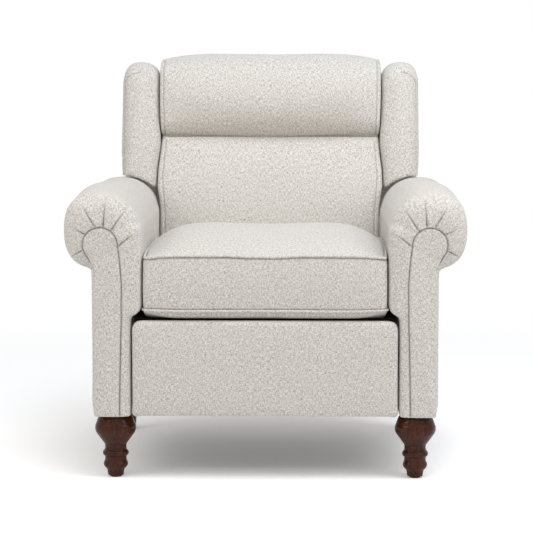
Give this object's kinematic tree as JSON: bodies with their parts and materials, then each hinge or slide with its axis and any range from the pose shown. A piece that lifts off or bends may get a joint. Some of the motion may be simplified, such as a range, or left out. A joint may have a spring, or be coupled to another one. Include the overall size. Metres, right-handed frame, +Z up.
{
  "type": "push-back recliner chair",
  "caption": "Rolled-arm upholstered recliner on turned front legs; the seat glides forward, the winged back tilts and the front panel folds out as a footrest.",
  "frame": {"origin": "centre of the bounding box at the floor", "axes": "+Z up, front towards -Y, +X to the right in the front view"},
  "size_m": [0.932, 0.8619, 0.9886],
  "materials": {
    "tweed": "woven heather tweed",
    "leg_wood": "dark stained, satin lacquer",
    "frame_wood": "raw plywood and hardwood",
    "steel": "black powder coat",
    "spring_wire": "drawn wire",
    "webbing": "woven elastic",
    "deck_cloth": "black deck cloth",
    "nylon": "moulded"
  },
  "bodies": {
    "base": {"left_arm_roll": "tweed", "right_arm_roll": "tweed", "left_arm_stump": "tweed", "right_arm_stump": "tweed", "left_arm_inside_pad": "tweed", "right_arm_inside_pad": "tweed", "left_arm_facing": "tweed", "right_arm_facing": "tweed", "left_arm_frame": "frame_wood", "right_arm_frame": "frame_wood", "left_front_leg": "leg_wood", "right_front_leg": "leg_wood", "left_rear_leg": "leg_wood", "right_rear_leg": "leg_wood", "leg_bolts": "steel", "leg_glides": "nylon", "front_base_rail": "frame_wood", "rear_base_rail": "frame_wood", "left_base_plate": "steel", "right_base_plate": "steel", "base_pivot_pins": "steel"},
    "rear_swing": {"rear_swing_links": "steel"},
    "front_swing": {"front_swing_links": "steel"},
    "seat": {"left_seat_rail": "frame_wood", "right_seat_rail": "frame_wood", "seat_front_rail": "frame_wood", "seat_rear_rail": "frame_wood", "seat_springs": "spring_wire", "seat_deck": "deck_cloth", "left_seat_plate": "steel", "right_seat_plate": "steel", "seat_pivot_pins": "steel", "seat_cushion": "tweed"},
    "back": {"left_back_post": "frame_wood", "right_back_post": "frame_wood", "back_top_rail": "frame_wood", "back_low_rail": "frame_wood", "back_brackets": "steel", "back_webbing": "webbing", "lower_back_cushion": "tweed", "headrest_cushion": "tweed", "left_wing": "tweed", "right_wing": "tweed", "wing_blocks": "frame_wood", "outside_back": "tweed"},
    "drive": {"left_drive_link": "steel", "right_drive_link": "steel", "drive_link_pins": "steel", "torque_tube": "steel"},
    "extension": {"left_extension_link": "steel", "right_extension_link": "steel", "control_pins": "steel"},
    "tilt": {"tilt_links": "steel"},
    "control": {"control_links": "steel"},
    "footrest": {"footrest_pad": "tweed", "footrest_board": "frame_wood", "footrest_brackets": "steel", "footrest_pins": "steel"}
  },
  "joints": [
    {"name": "seat_swing", "type": "hinge", "parent": "base", "child": "rear_swing", "pos_m": [0, 0.058, 0.218], "axis": [1, 0, 0], "range_deg": [0, 32]},
    {"name": "front_swing_turn", "type": "hinge", "parent": "base", "child": "front_swing", "pos_m": [0, -0.2, 0.218], "axis": [1, 0, 0], "range_deg": [0, 32]},
    {"name": "seat_level", "type": "hinge", "parent": "rear_swing", "child": "seat", "pos_m": [0, 0.08694, 0.31893], "axis": [1, 0, 0], "range_deg": [-32, 0]},
    {"name": "back_recline", "type": "hinge", "parent": "seat", "child": "back", "pos_m": [0, 0.153, 0.331], "axis": [-1, 0, 0], "range_deg": [0, 32], "stiffness_Nm_per_rad": 50, "springref_deg": -28.65},
    {"name": "drive_turn", "type": "hinge", "parent": "seat", "child": "drive", "pos_m": [0, -0.352, 0.351], "axis": [1, 0, 0], "range_deg": [-100, 0]},
    {"name": "extension_turn", "type": "hinge", "parent": "drive", "child": "extension", "pos_m": [0, -0.352, 0.211], "axis": [1, 0, 0], "range_deg": [0, 170]},
    {"name": "tilt_turn", "type": "hinge", "parent": "drive", "child": "tilt", "pos_m": [0, -0.352, 0.166], "axis": [1, 0, 0], "range_deg": [0, 170]},
    {"name": "footrest_turn", "type": "hinge", "parent": "extension", "child": "footrest", "pos_m": [0, -0.3739, 0.34928], "axis": [1, 0, 0], "range_deg": [-170, 0]},
    {"name": "control_turn", "type": "hinge", "parent": "seat", "child": "control", "pos_m": [0, -0.3265, 0.306], "axis": [1, 0, 0], "range_deg": [-104, 0]}
  ],
  "couplings": [
    {"joint": "front_swing_turn", "follows": "seat_swing", "ratio": 1},
    {"joint": "seat_level", "follows": "seat_swing", "ratio": -1},
    {"joint": "drive_turn", "follows": "seat_swing", "ratio": -3.125},
    {"joint": "extension_turn", "follows": "seat_swing", "ratio": 5.3125},
    {"joint": "tilt_turn", "follows": "seat_swing", "ratio": 5.3125},
    {"joint": "footrest_turn", "follows": "seat_swing", "ratio": -5.3125},
    {"joint": "control_turn", "follows": "seat_swing", "ratio": -3.2356}
  ]
}
